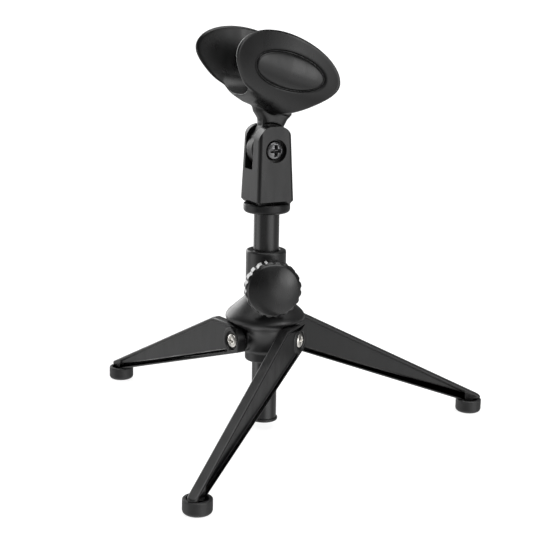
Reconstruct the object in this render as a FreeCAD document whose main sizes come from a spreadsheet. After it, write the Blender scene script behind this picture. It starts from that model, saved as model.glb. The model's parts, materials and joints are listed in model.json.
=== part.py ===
"""Desktop microphone stand: folding tripod base, sliding tube, swivel joint and flexible clip.

Units are millimetres.  +Z is up, the origin is on the tube's axis at the level of the table, and the
front leg points roughly along -Y.  Every driving size is a cell of the spreadsheet; the objects are
bound to those cells with expressions.
"""
import FreeCAD, Part
import math
import os

import Sketcher
from FreeCAD import Placement, Rotation, Vector

DRIVING_SIZES = {
    # tube and its end cap
    "tube_radius": 7.94,
    "tube_wall": 1.5,
    "tube_low": 7.5,
    "tube_chamfer": 0.8,
    "tube_high": 160.0,
    "cap_radius": 8.75,
    "cap_low": 5.6,
    "cap_plug_high": 16.0,
    "cap_edge": 0.8,
    "running_gap": 0.05,
    "part_gap": 0.1,
    # hub: collar, shoulder, skirt and knob boss
    "hub_radius": 12.5,
    "hub_low": 45.8,
    "hub_high": 116.4,
    "hub_top_chamfer": 1.0,
    "flare_low": 52.5,
    "flare_radius": 18.0,
    "skirt_radius": 25.5,
    "skirt_low": 72.1,
    "skirt_high": 75.2,
    "shoulder_low": 77.0,
    "shoulder_inset": 1.6,
    "shoulder_high": 86.6,
    "lug_radius": 8.0,
    "lug_face": 18.15,
    "scallop_radius": 10.8,
    "pocket_back": 9.6,
    # legs
    "leg_offset": 22.15,
    "leg_width": 6.4,
    "leg_back": 6.4,
    "leg_back_corner": 5.0,
    "leg_back_arc": 11.0,
    "pivot_along": 1.5,
    "pivot_level": 60.8,
    "leg_top_level": 71.5,
    "leg_shoulder": 22.3,
    "leg_low_start": 52.9,
    "leg_low_slope": 0.331,
    "leg_end": 148.0,
    "leg_end_level": 10.6,
    "leg_end_round": 2.6,
    "web_recess": 1.3,
    "flange_top": 2.2,
    "flange_low": 3.4,
    "flange_bevel": 1.2,
    "eye_arc": 8.6,
    "eye_low": 6.8,
    "eye_high": 2.8,
    "recess_end": 136.0,
    "foot_distance": 140.2,
    "tip_radius": 6.2,
    "tip_level": 3.3,
    "tip_thick": 2.8,
    "stem_radius": 3.1,
    "stem_height": 6.0,
    "leg_azimuth": 126.87,
    # leg screws and friction washers
    "leg_screw_radius": 2.5,
    "leg_screw_start": 10.5,
    "leg_head_radius": 4.75,
    "leg_head_height": 2.6,
    "leg_bore_floor": 23.2,
    "leg_bore_radius": 5.9,
    "leg_washer_radius": 6.5,
    "leg_washer_thick": 0.7,
    # rubber feet
    "foot_radius": 8.4,
    "foot_height": 8.6,
    "foot_edge": 2.4,
    "foot_rim": 0.7,
    # clamping knob
    "knob_level": 97.3,
    "knob_azimuth": -80.0,
    "knob_back": 20.6,
    "knob_front": 30.0,
    "knob_apex": 34.4,
    "knob_radius": 17.3,
    "knob_dome_radius": 16.5,
    "knob_notch_radius": 1.3,
    "knob_notch_out": 0.5,
    "knob_notch_end": 0.6,
    "knob_edge": 1.2,
    "knob_front_edge": 1.0,
    "knob_notches": 20,
    "boss_radius": 8.0,
    "boss_face": 20.1,
    "stud_radius": 4.0,
    "stud_head_radius": 6.5,
    "stud_head_low": 23.0,
    "stud_head_high": 28.0,
    "pad_start": 8.15,
    "pad_thick": 2.0,
    # lock ring and threaded insert
    "ring_radius": 14.45,
    "ring_low": 140.1,
    "ring_high": 145.8,
    "ring_edge": 2.2,
    "insert_radius": 9.6,
    "insert_low": 147.2,
    "insert_high": 161.5,
    # swivel body
    "body_azimuth": 27.9,
    "body_side": 25.2,
    "body_low": 146.2,
    "body_high": 193.6,
    "body_taper": 2.19,
    "body_corner": 2.4,
    "body_chamfer": 1.8,
    "slot_width": 9.9,
    "slot_low": 167.0,
    "slot_aside": 2.4,
    "tilt_level": 178.9,
    "ear_round": 8.8,
    "ear_half_width": 11.1,
    "tilt_screw_radius": 3.0,
    "tilt_head_radius": 5.7,
    "tilt_head_height": 2.9,
    "tilt_bore_radius": 7.1,
    "tilt_bore_floor": 7.95,
    "tilt_washer_radius": 7.0,
    "tilt_washer_thick": 0.7,
    "nut_flats": 10.0,
    "nut_thick": 2.4,
    "nut_seat": 8.9,
    # microphone clip
    "tongue_radius": 11.4,
    "tongue_thick": 8.2,
    "neck_low": 17.2,
    "neck_thick": 16.0,
    "web_thick": 6.0,
    "wing_level": 50.2,
    "wing_tilt": 20.3,
    "wing_length": 36.3,
    "wing_height": 20.3,
    "seat_radius": 19.7,
    "seat_rise": 1.9,
    "seat_wall": 3.2,
    "seat_half_length": 8.0,
    "bridge_depth": 20.7,
    "bridge_inset": 7.5,
    "wing_low": 24.0,
    "wing_low_left": 13.0,
    "wing_low_right": 19.5,
    "wing_low_angle": 24.4,
    "wing_flare": 7.0,
    "pad_length": 22.8,
    "pad_height": 10.3,
    "pad_along": 3.0,
    "pad_drop": 0.6,
    "pad_rise": 0.9,
}

LEGS = ("left", "right", "front")
OUTSIDE = 40.0

doc = FreeCAD.newDocument("MicStand")
sheet = doc.addObject("Spreadsheet::Sheet", "Sheet")
for row, (alias, number) in enumerate(DRIVING_SIZES.items(), start=1):
    sheet.set(f"A{row}", alias)
    sheet.set(f"B{row}", str(number))
    sheet.setAlias(f"B{row}", alias)
doc.recompute()


class Size(float):
    """A number that remembers the spreadsheet expression it came from."""

    def __new__(cls, number, text):
        size = super().__new__(cls, number)
        size.text = text
        return size

    def __add__(self, other):
        return Size(float(self) + float(other), f"({self.text} + {words(other)})")

    def __sub__(self, other):
        return Size(float(self) - float(other), f"({self.text} - {words(other)})")

    def __mul__(self, other):
        return Size(float(self) * float(other), f"({self.text} * {words(other)})")

    def __truediv__(self, other):
        return Size(float(self) / float(other), f"({self.text} / {words(other)})")

    def __neg__(self):
        return Size(-float(self), f"(-1 * {self.text})")


def words(value):
    """The expression text of a Size or of a plain number."""
    return value.text if isinstance(value, Size) else repr(float(value))


def size(alias):
    """The value of a sheet cell, bound to its alias."""
    return Size(float(sheet.get(alias)), f"Sheet.{alias}")


def bind(item, prop, value):
    """Set a property and, when the value came from the sheet, bind it by expression."""
    if isinstance(value, Size):
        item.setExpression(prop, value.text)
    else:
        setattr(item, prop, value)


# ---------------------------------------------------------------- building blocks

def new_body(label):
    body = doc.addObject("PartDesign::Body", "body_" + label)
    body.Label = label
    return body


def origin_plane(body, role):
    return next(item for item in body.Origin.OriginFeatures if item.Role == role)


def new_sketch(body, name, role="XZ_Plane", distance=0.0):
    """A sketch on one of the body's origin planes, moved along the plane's normal by the distance."""
    sketch = body.newObject("Sketcher::SketchObject", name)
    sketch.AttachmentSupport = [(origin_plane(body, role), "")]
    sketch.MapMode = "FlatFace"
    if isinstance(distance, Size):
        sketch.setExpression("AttachmentOffset.Base.z", distance.text)
    elif distance:
        sketch.AttachmentOffset = Placement(Vector(0, 0, distance), Rotation())
    return sketch


def pin(sketch, edge, point, x, y):
    """Fix an edge's start (1), end (2) or centre (3) at (x, y), by expression for a Size."""
    for value, kind, axis in ((x, "DistanceX", -2), (y, "DistanceY", -1)):
        if abs(float(value)) < 1e-9:
            sketch.addConstraint(Sketcher.Constraint("PointOnObject", edge, point, axis))
            continue
        index = sketch.addConstraint(Sketcher.Constraint(kind, -1, 1, edge, point, float(value)))
        if isinstance(value, Size):
            sketch.setExpression(f"Constraints[{index}]", value.text)


def bulge_arc(start, end, radius):
    """Arc of the given radius from start to end; a positive radius bulges to the right of the chord."""
    chord = end - start
    half = chord.Length / 2
    rise = math.sqrt(max(radius * radius - half * half, 0.0))
    side = Vector(chord.y, -chord.x, 0).normalize()
    turn = 1 if radius > 0 else -1
    centre = (start + end) / 2 - side * rise * turn
    first = math.atan2(start.y - centre.y, start.x - centre.x)
    last = math.atan2(end.y - centre.y, end.x - centre.x)
    if turn < 0:
        first, last = last, first
    circle = Part.Circle(centre, Vector(0, 0, 1), abs(radius))
    return Part.ArcOfCircle(circle, first, last), turn


def outline(sketch, points, arcs=None):
    """Closed outline through the points; arcs maps a point's index to the arc radius after it."""
    arcs = arcs or {}
    count = len(points)
    vectors = [Vector(float(x), float(y), 0) for x, y in points]
    ends = []
    for index in range(count):
        start, end = vectors[index], vectors[(index + 1) % count]
        if index in arcs:
            arc, turn = bulge_arc(start, end, float(arcs[index]))
            sketch.addGeometry(arc, False)
            ends.append((1, 2) if turn > 0 else (2, 1))
        else:
            sketch.addGeometry(Part.LineSegment(start, end), False)
            ends.append((1, 2))
    for index in range(count):
        following = (index + 1) % count
        joint = Sketcher.Constraint("Coincident", index, ends[index][1], following, ends[following][0])
        sketch.addConstraint(joint)
    for index, (x, y) in enumerate(points):
        pin(sketch, index, ends[index][0], x, y)
    for index, radius in arcs.items():
        number = sketch.addConstraint(Sketcher.Constraint("Radius", index, abs(float(radius))))
        if isinstance(radius, Size):
            sketch.setExpression(f"Constraints[{number}]", f"abs({radius.text})")


def circle(sketch, radius, x=0.0, y=0.0):
    """A circle whose centre and radius are bound to the sheet."""
    edge = sketch.addGeometry(Part.Circle(Vector(float(x), float(y), 0), Vector(0, 0, 1), float(radius)))
    pin(sketch, edge, 3, x, y)
    index = sketch.addConstraint(Sketcher.Constraint("Radius", edge, float(radius)))
    if isinstance(radius, Size):
        sketch.setExpression(f"Constraints[{index}]", radius.text)


def revolve(body, name, points, arcs=None):
    """Revolve a radius-height outline about the body's Z axis."""
    sketch = new_sketch(body, name + "_profile")
    outline(sketch, points, arcs)
    feature = body.newObject("PartDesign::Revolution", name)
    feature.Profile = sketch
    feature.ReferenceAxis = (sketch, ["V_Axis"])
    feature.Angle = 360.0
    return feature


def pad(body, name, sketch, length, symmetric=False, reverse=False):
    feature = body.newObject("PartDesign::Pad", name)
    feature.Profile = sketch
    feature.Midplane = symmetric
    feature.Reversed = reverse
    bind(feature, "Length", length)
    return feature


def pocket(body, name, sketch, length, symmetric=False, reverse=False):
    """Cut a pocket and make sure that it removed material."""
    doc.recompute()
    before = body.Shape.Volume
    feature = body.newObject("PartDesign::Pocket", name)
    feature.Profile = sketch
    feature.Midplane = symmetric
    feature.Reversed = reverse
    bind(feature, "Length", length)
    doc.recompute()
    if body.Shape.Volume > before - 0.01:
        raise RuntimeError(f"{name} cut nothing")
    return feature


def edges_where(shape, test):
    """Names of the edges whose centre and size satisfy the test."""
    return [f"Edge{i}" for i, edge in enumerate(shape.Edges, start=1) if test(edge)]


def round_edges(body, name, radius, test, kind="Fillet"):
    """Fillet or chamfer the edges of the body's tip that satisfy the test."""
    doc.recompute()
    tip = body.Tip
    names = edges_where(tip.Shape, test)
    if not names:
        raise RuntimeError(f"{name} found no edges")
    feature = body.newObject("PartDesign::" + kind, name)
    feature.Base = (tip, names)
    bind(feature, "Radius" if kind == "Fillet" else "Size", radius)
    return feature


def is_circle(edge, radius, height):
    """True for a full circle of this radius about Z at this height."""
    curve = edge.Curve
    if curve.TypeId != "Part::GeomCircle" or len(edge.Vertexes) > 1:
        return False
    return abs(curve.Radius - float(radius)) < 0.02 and abs(curve.Center.z - float(height)) < 0.02


def place(body, azimuth=0.0, base=(0, 0, 0), tilt=None):
    """Turn a body about Z and move it; tilt, where given, lays its Z axis along +X first."""
    turn = Rotation(Vector(0, 0, 1), azimuth)
    if tilt:
        turn = turn * Rotation(Vector(0, 1, 0), 90)
    body.Placement = Placement(Vector(*base), turn)


def frozen(label, shape, placement=None):
    """A Part::Feature for a shape that the parametric features do not cover."""
    feature = doc.addObject("Part::Feature", "shape_" + label)
    feature.Label = label
    feature.Shape = shape
    if placement is not None:
        feature.Placement = placement
    return feature


# ---------------------------------------------------------------- tube and cap

def build_tube():
    body = new_body("tube")
    outer, inner = size("tube_radius"), size("tube_radius") - size("tube_wall")
    low, high = size("tube_low"), size("tube_high")
    revolve(body, "tube_wall_ring", [(inner, low), (outer, low), (outer, high), (inner, high)])
    round_edges(body, "tube_lead_in", size("tube_chamfer"), lambda edge: is_circle(edge, outer, high), "Chamfer")
    return body


def build_tube_cap():
    """Plastic plug pushed into the tube's lower end, with a flange below it."""
    body = new_body("tube_cap")
    outer, plug = size("cap_radius"), size("tube_radius") - size("tube_wall")
    low, seat, high = size("cap_low"), size("tube_low"), size("cap_plug_high")
    points = [(0, low), (outer, low), (outer, seat), (plug, seat), (plug, high), (0, high)]
    revolve(body, "cap_plug", points)
    round_edges(body, "cap_low_edge", size("cap_edge"), lambda edge: is_circle(edge, outer, low))
    return body


# ---------------------------------------------------------------- hub

def hub_outline(body):
    """Collar above, conical shoulder, rim and concave flare down to the lower sleeve."""
    bore = size("tube_radius") + size("running_gap") * 2
    sleeve, skirt = size("hub_radius"), size("skirt_radius")
    chamfer = size("hub_top_chamfer")
    low, high = size("hub_low"), size("hub_high")
    points = [
        (bore, low),
        (sleeve, low),
        (sleeve, size("flare_low")),
        (skirt, size("skirt_low")),
        (skirt, size("skirt_high")),
        (skirt - size("shoulder_inset"), size("shoulder_low")),
        (sleeve, size("shoulder_high")),
        (sleeve, high - chamfer),
        (sleeve - chamfer, high),
        (bore, high),
    ]
    revolve(body, "hub_shell", points, {2: -size("flare_radius")})


def radial_cylinder(body, name, radius, start, length, level, azimuth, cut=False, aside=0.0):
    """A cylinder that points away from the tube's axis at a level and azimuth, moved aside clockwise."""
    kind = "PartDesign::SubtractiveCylinder" if cut else "PartDesign::AdditiveCylinder"
    feature = body.newObject(kind, name)
    bind(feature, "Radius", radius)
    bind(feature, "Height", length)
    turn = Rotation(Vector(0, 0, 1), azimuth) * Rotation(Vector(0, 1, 0), 90)
    base = turn.multVec(Vector(-float(level), -float(aside), float(start)))
    feature.Placement = Placement(base, turn)
    if isinstance(level, Size):
        feature.setExpression("Placement.Base.z", level.text)
    return feature


def leg_pocket(body, name, azimuth):
    """The space for one leg's end: a flat side wall, a flat ceiling and a round clearance for the fold."""
    level, back = size("pivot_level"), size("pocket_back")
    face, ceiling = size("lug_face"), size("skirt_low")
    bottom = DRIVING_SIZES["hub_low"] - 5.0
    for part, high, start in (("ceiling", ceiling, 0.0), ("below", level, -float(back))):
        box = body.newObject("PartDesign::SubtractiveBox", f"{name}_{part}")
        box.Length = OUTSIDE - start
        box.Width = OUTSIDE
        box.Height = float(high) - bottom
        turn = Rotation(Vector(0, 0, 1), azimuth)
        corner = turn.multVec(Vector(start, float(face), 0)) + Vector(0, 0, bottom)
        box.Placement = Placement(corner, turn)
    radial_cylinder(body, name + "_scallop", size("scallop_radius"), face, OUTSIDE, level, azimuth + 90, True,
                    size("pivot_along"))


def build_hub():
    body = new_body("hub")
    hub_outline(body)
    level, aside = size("pivot_level"), size("pivot_along")
    for number, leg in enumerate(LEGS):
        side = DRIVING_SIZES["leg_azimuth"] - 120 * number + 90
        radial_cylinder(body, f"lug_{leg}", size("lug_radius"), 0.0, size("lug_face"), level, side, aside=aside)
    knob = DRIVING_SIZES["knob_azimuth"]
    radial_cylinder(body, "knob_boss", size("boss_radius"), 0.0, size("boss_face"), size("knob_level"), knob)
    for number, leg in enumerate(LEGS):
        leg_pocket(body, f"pocket_{leg}", DRIVING_SIZES["leg_azimuth"] - 120 * number)
    for number, leg in enumerate(LEGS):
        side = DRIVING_SIZES["leg_azimuth"] - 120 * number + 90
        start = size("leg_screw_start")
        radial_cylinder(body, f"screw_hole_{leg}", size("leg_screw_radius"), start, OUTSIDE, level, side, True, aside)
    stud = size("stud_radius") + size("running_gap")
    radial_cylinder(body, "stud_hole", stud, 0.0, OUTSIDE, size("knob_level"), knob, True)
    bore = body.newObject("PartDesign::SubtractiveCylinder", "tube_bore")
    bind(bore, "Radius", size("tube_radius") + size("running_gap") * 2)
    bind(bore, "Height", size("hub_high") * 2)
    return body


# ---------------------------------------------------------------- legs and feet

def leg_ridge(distance):
    """Height of the leg's top edge at a distance from the pivot."""
    fall = size("leg_top_level") - size("leg_end_level")
    run = size("leg_end") - size("leg_shoulder")
    return size("leg_top_level") - (distance - size("leg_shoulder")) * fall / run


def leg_underside(distance):
    return size("leg_low_start") - distance * size("leg_low_slope")


def leg_beam(body):
    """Side profile of the leg as a flat beam of the flange's width; its end lies on the foot's rim."""
    top, back = size("leg_top_level"), size("leg_back")
    rim, end = size("foot_height"), size("leg_end")
    rim_start = (size("leg_low_start") - rim) / size("leg_low_slope")
    points = [
        (size("leg_back_corner"), top),
        (-back, size("pivot_level")),
        (-back, leg_underside(-back)),
        (rim_start, rim),
        (end, rim),
        (end, size("leg_end_level")),
        (size("leg_shoulder"), top),
    ]
    sketch = new_sketch(body, "leg_profile")
    outline(sketch, points, {0: size("leg_back_arc")})
    pad(body, "leg_beam", sketch, size("leg_width"), symmetric=True)
    tip = float(end)
    round_edges(body, "leg_end_edges", size("leg_end_round"),
                lambda edge: edge.BoundBox.XMin > tip - 0.01 and edge.BoundBox.ZLength > 1.0)


def leg_tip(body):
    """Stem and disc that plug into the rubber foot."""
    floor, thick = size("tip_level"), size("tip_thick")
    discs = {"disc": (thick, size("tip_radius")), "stem": (size("stem_height"), size("stem_radius"))}
    for name, (height, radius) in discs.items():
        sketch = new_sketch(body, f"tip_{name}_circle", "XY_Plane", distance=floor)
        circle(sketch, radius, size("foot_distance"))
        pad(body, f"tip_{name}", sketch, height)


def leg_recess(body):
    """Recess on both sides that leaves a flange above and below the web, and a round eye about the pivot."""
    end, shoulder, top = size("recess_end"), size("leg_shoulder"), size("leg_top_level")
    upper, lower, low, high = size("flange_top"), size("flange_low"), size("eye_low"), size("eye_high")
    points = [
        (end, leg_underside(end) + lower),
        (end, leg_ridge(end) - upper),
        (shoulder, top - upper),
        (high, top - upper),
        (low, leg_underside(low) + lower),
    ]
    half = size("leg_width") / 2
    for name, distance, reverse in (("inner", half, False), ("outer", -half, True)):
        sketch = new_sketch(body, f"recess_{name}", distance=distance)
        outline(sketch, points, {3: -size("eye_arc")})
        pocket(body, f"web_{name}", sketch, size("web_recess"), reverse=reverse)
    bevel_low_flange(body)


def bevel_low_flange(body):
    """Bevel the upper outer edges of the lower flange."""
    half = DRIVING_SIZES["leg_width"] / 2
    middle = (DRIVING_SIZES["eye_low"] + DRIVING_SIZES["recess_end"]) / 2
    level = float(leg_underside(middle)) + DRIVING_SIZES["flange_low"]

    def upper_edge(edge):
        centre = edge.CenterOfMass
        on_side = abs(abs(centre.y) - half) < 0.01 and edge.Length > 60
        return on_side and abs(centre.z - level) < 4.0 and edge.BoundBox.ZLength < 45
    round_edges(body, "flange_bevels", size("flange_bevel"), upper_edge, "Chamfer")


def build_leg(name, azimuth):
    """One leg, drawn along +X with its mid-plane through the axis, then moved out to its own plane."""
    body = new_body(f"{name}_leg")
    leg_beam(body)
    leg_tip(body)
    leg_recess(body)
    along, level = size("pivot_along"), size("pivot_level")
    hole = new_sketch(body, "pivot_circle")
    circle(hole, size("leg_screw_radius") + size("running_gap"), along, level)
    pocket(body, "pivot_hole", hole, OUTSIDE, symmetric=True)
    sketch = new_sketch(body, "counterbore_circle", distance=size("leg_offset") - size("leg_bore_floor"))
    circle(sketch, size("leg_bore_radius"), along, level)
    pocket(body, "counterbore", sketch, 10.0, reverse=False)
    turn = Rotation(Vector(0, 0, 1), azimuth)
    body.Placement = Placement(turn.multVec(Vector(0, float(size("leg_offset")), 0)), turn)
    return body


def build_foot(name, azimuth):
    """Rubber cup under the leg's tip."""
    body = new_body(f"{name}_foot")
    outer, high, floor = size("foot_radius"), size("foot_height"), size("tip_level")
    cup = size("tip_radius")
    revolve(body, "foot_cup", [(0, 0), (outer, 0), (outer, high), (cup, high), (cup, floor), (0, floor)])
    round_edges(body, "foot_low_edge", size("foot_edge"), lambda edge: is_circle(edge, outer, 0))
    round_edges(body, "foot_rim_edge", size("foot_rim"), lambda edge: is_circle(edge, outer, high))
    turn = Rotation(Vector(0, 0, 1), azimuth)
    centre = turn.multVec(Vector(float(size("foot_distance")), float(size("leg_offset")), 0))
    body.Placement = Placement(centre, turn)
    return body


def cross_recess(body, radius, top, depth):
    """Cross-shaped driver recess in the top of a screw head."""
    arm = radius * 0.62
    for name, long_side, short_side in (("a", arm, arm * 0.3), ("b", arm * 0.3, arm)):
        slot = body.newObject("PartDesign::SubtractiveBox", f"driver_{name}")
        slot.Length = 2 * long_side
        slot.Width = 2 * short_side
        slot.Height = 4.0
        slot.Placement = Placement(Vector(-long_side, -short_side, top - depth), Rotation())


def screw(label, shank, start, seat, head_radius, head_height):
    """Cross-recessed pan-head screw along Z: shank from start to seat, head above the seat."""
    body = new_body(label)
    top = seat + head_height
    shoulder = seat + head_height * 0.45
    points = [(0, start), (shank, start), (shank, seat), (head_radius, seat), (head_radius, shoulder), (0, top)]
    radius = head_radius * 1.9
    revolve(body, "screw_turned", points, {4: radius})
    cross_recess(body, float(head_radius), float(top), 1.8)
    return body


def place_pivot_part(body, azimuth):
    """Lay a part's Z axis along a leg's pivot axis, away from the tube."""
    base = Rotation(Vector(0, 0, 1), azimuth).multVec(Vector(DRIVING_SIZES["pivot_along"], 0, 0))
    place(body, azimuth + 90, (base.x, base.y, DRIVING_SIZES["pivot_level"]), tilt=True)


def build_leg_screw(name, azimuth):
    """Pivot screw of a leg, threaded into the hub's lug."""
    seat = size("leg_bore_floor") + size("part_gap")
    body = screw(f"{name}_leg_screw", size("leg_screw_radius"), size("leg_screw_start"), seat,
                 size("leg_head_radius"), size("leg_head_height"))
    place_pivot_part(body, azimuth)
    return body


def washer(label, inner, outer, low, high):
    body = new_body(label)
    revolve(body, "washer_ring", [(inner, low), (outer, low), (outer, high), (inner, high)])
    return body


def build_leg_washer(name, azimuth):
    """Friction washer between the hub's lug and the leg."""
    low = size("lug_face")
    body = washer(f"{name}_leg_washer", size("leg_screw_radius"), size("leg_washer_radius"), low,
                  low + size("leg_washer_thick"))
    place_pivot_part(body, azimuth)
    return body


# ---------------------------------------------------------------- clamping knob

def build_knob():
    """Domed knob with a notched edge and a cavity for the stud's head."""
    body = new_body("knob")
    back, front, apex = size("knob_back"), size("knob_front"), size("knob_apex")
    outer, dome = size("knob_radius"), size("knob_dome_radius")
    rise = float(apex - front)
    dome_radius = (float(dome) ** 2 + rise ** 2) / (2 * rise)
    edge, shoulder = size("knob_edge"), front - size("knob_front_edge")
    points = [(0, back), (outer - edge, back), (outer, back + edge), (outer, shoulder), (dome, front), (0, apex)]
    revolve(body, "knob_turned", points, {4: Size(dome_radius, repr(dome_radius))})
    notch = new_sketch(body, "notch_circle", "XY_Plane", distance=back)
    circle(notch, size("knob_notch_radius"), outer + size("knob_notch_out"))
    cut = pocket(body, "notch", notch, front - back - size("knob_notch_end"), reverse=True)
    ring = body.newObject("PartDesign::PolarPattern", "notches")
    ring.Originals = [cut]
    ring.Axis = (notch, ["N_Axis"])
    ring.Angle = 360.0
    ring.Occurrences = DRIVING_SIZES["knob_notches"]
    body.Tip = ring
    doc.recompute()
    shank = body.newObject("PartDesign::SubtractiveCylinder", "stud_bore")
    bind(shank, "Radius", size("stud_radius"))
    shank.Height = float(size("stud_head_low"))
    cavity = body.newObject("PartDesign::SubtractivePrism", "stud_socket")
    cavity.Polygon = 6
    bind(cavity, "Circumradius", size("stud_head_radius"))
    bind(cavity, "Height", size("stud_head_high") - size("stud_head_low"))
    cavity.Placement = Placement(Vector(0, 0, float(size("stud_head_low"))), Rotation())
    place(body, DRIVING_SIZES["knob_azimuth"], (0, 0, float(size("knob_level"))), tilt=True)
    return body


def build_knob_stud():
    """Threaded steel stud with a hexagonal head moulded into the knob."""
    body = new_body("knob_stud")
    start = size("pad_start") + size("pad_thick") + size("running_gap")
    low, high = size("stud_head_low"), size("stud_head_high")
    shank = size("stud_radius")
    revolve(body, "stud_shank", [(0, start), (shank - 0.6, start), (shank, start + 0.6), (shank, low), (0, low)])
    head = body.newObject("PartDesign::AdditivePrism", "stud_head")
    head.Polygon = 6
    bind(head, "Circumradius", size("stud_head_radius"))
    bind(head, "Height", high - low)
    head.Placement = Placement(Vector(0, 0, float(low)), Rotation())
    place(body, DRIVING_SIZES["knob_azimuth"], (0, 0, float(size("knob_level"))), tilt=True)
    return body


def build_brake_pad():
    """Nylon slug that the stud presses against the tube."""
    body = new_body("brake_pad")
    low, radius = size("pad_start"), size("stud_radius") - size("running_gap")
    high = low + size("pad_thick")
    revolve(body, "pad_disc", [(0, low), (radius, low), (radius, high), (0, high)])
    place(body, DRIVING_SIZES["knob_azimuth"], (0, 0, float(size("knob_level"))), tilt=True)
    return body


# ---------------------------------------------------------------- swivel joint

def build_lock_ring():
    """Jam ring on the tube's thread, rounded below."""
    body = new_body("lock_ring")
    bore, outer = size("tube_radius") + size("running_gap"), size("ring_radius")
    low, high = size("ring_low"), size("ring_high")
    revolve(body, "ring_turned", [(bore, low), (outer, low), (outer, high), (bore, high)])
    round_edges(body, "ring_low_edge", size("ring_edge"), lambda edge: is_circle(edge, outer, low))
    round_edges(body, "ring_high_edge", 0.5, lambda edge: is_circle(edge, outer, high), "Chamfer")
    return body


def build_thread_insert():
    """Brass 5/8 inch thread insert moulded into the swivel body."""
    body = new_body("thread_insert")
    bore, outer = size("tube_radius") + size("running_gap"), size("insert_radius")
    low, high = size("insert_low"), size("insert_high")
    groove = size("insert_radius") - 0.8
    middle = (low + high) / 2
    points = [
        (bore, low), (outer, low), (outer, middle - 1.5), (groove, middle - 1.0),
        (groove, middle + 1.0), (outer, middle + 1.5), (outer, high), (bore, high),
    ]
    revolve(body, "insert_turned", points)
    return body


def ear_outline(body, name):
    """Cut everything outside the arched top of the ears, seen along the tilt axis."""
    half, top, arch = size("ear_half_width"), size("body_high"), size("ear_round")
    wide, tall = size("body_side"), size("body_high") * 1.2
    for side, sign in (("right", 1), ("left", -1)):
        sketch = new_sketch(body, f"{name}_{side}")
        edge, start, far = half * sign, (half - arch) * sign, wide * sign
        points = [(start, top), (edge, top - arch), (far, top - arch), (far, tall), (start, tall)]
        outline(sketch, points, {0: arch * -sign})
        pocket(body, f"{name}_cut_{side}", sketch, 60.0, symmetric=True)


def build_swivel_body():
    """Tapered square body with two ears; the insert's bore is below and the tongue's slot above."""
    body = new_body("swivel_body")
    half, low, high = size("body_side") / 2, size("body_low"), size("body_high")
    sketch = new_sketch(body, "body_square", "XY_Plane", distance=low)
    outline(sketch, [(-half, -half), (half, -half), (half, half), (-half, half)])
    block = pad(body, "body_block", sketch, high - low)
    block.TaperAngle = -DRIVING_SIZES["body_taper"]
    round_edges(body, "body_corners", size("body_corner"),
                lambda edge: abs(edge.BoundBox.ZLength) > 40)
    slot = new_sketch(body, "slot_section", "YZ_Plane")
    near, far = size("slot_aside") - size("slot_width") / 2, size("slot_aside") + size("slot_width") / 2
    floor, tall = size("slot_low"), size("body_high") * 1.2
    outline(slot, [(near, floor), (far, floor), (far, tall), (near, tall)])
    pocket(body, "tongue_slot", slot, 60.0, symmetric=True)
    ear_outline(body, "ear")
    bottom = float(low)
    round_edges(body, "body_low_edge", size("body_chamfer"),
                lambda edge: abs(edge.BoundBox.ZMax - bottom) < 0.01, "Chamfer")
    bore = new_sketch(body, "insert_circle", "XY_Plane", distance=low)
    circle(bore, size("insert_radius"))
    pocket(body, "insert_bore", bore, size("insert_high") - low, reverse=True)
    tilt_bores(body)
    place(body, DRIVING_SIZES["body_azimuth"])
    return body


def tilt_bores(body):
    """Screw hole through both ears, counterbore for the head and hexagonal pocket for the nut."""
    level = size("tilt_level")
    hole = new_sketch(body, "tilt_circle")
    circle(hole, size("tilt_screw_radius"), 0.0, level)
    pocket(body, "tilt_hole", hole, 60.0, symmetric=True)
    head = new_sketch(body, "head_circle", distance=size("tilt_bore_floor"))
    circle(head, size("tilt_bore_radius"), 0.0, level)
    pocket(body, "head_bore", head, 10.0, reverse=True)
    across = size("nut_flats") / math.sqrt(3)
    nut = body.newObject("PartDesign::SubtractivePrism", "nut_pocket")
    nut.Polygon = 6
    bind(nut, "Circumradius", across)
    nut.Height = 10.0
    turn = Rotation(Vector(1, 0, 0), -90)
    nut.Placement = Placement(Vector(0, float(size("nut_seat")), float(level)), turn)


def place_tilt_part(body):
    """Lay a part's Z axis along the tilt axis, towards the screw's head."""
    turn = Rotation(Vector(0, 0, 1), DRIVING_SIZES["body_azimuth"]) * Rotation(Vector(1, 0, 0), 90)
    body.Placement = Placement(Vector(0, 0, float(size("tilt_level"))), turn)


def build_tilt_screw():
    shank, seat = size("tilt_screw_radius"), size("tilt_bore_floor")
    start = -(size("nut_seat") + size("nut_thick"))
    body = screw("tilt_screw", shank, start, seat, size("tilt_head_radius"), size("tilt_head_height"))
    place_tilt_part(body)
    return body


def build_tilt_nut():
    """Hexagonal nut held in the far ear."""
    body = new_body("tilt_nut")
    prism = body.newObject("PartDesign::AdditivePrism", "nut_prism")
    prism.Polygon = 6
    bind(prism, "Circumradius", size("nut_flats") / math.sqrt(3))
    bind(prism, "Height", size("nut_thick"))
    outer = float(size("nut_seat") + size("nut_thick"))
    prism.Placement = Placement(Vector(0, 0, -outer), Rotation())
    hole = body.newObject("PartDesign::SubtractiveCylinder", "nut_hole")
    bind(hole, "Radius", size("tilt_screw_radius"))
    hole.Height = 40.0
    hole.Placement = Placement(Vector(0, 0, -30), Rotation())
    place_tilt_part(body)
    return body


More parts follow.
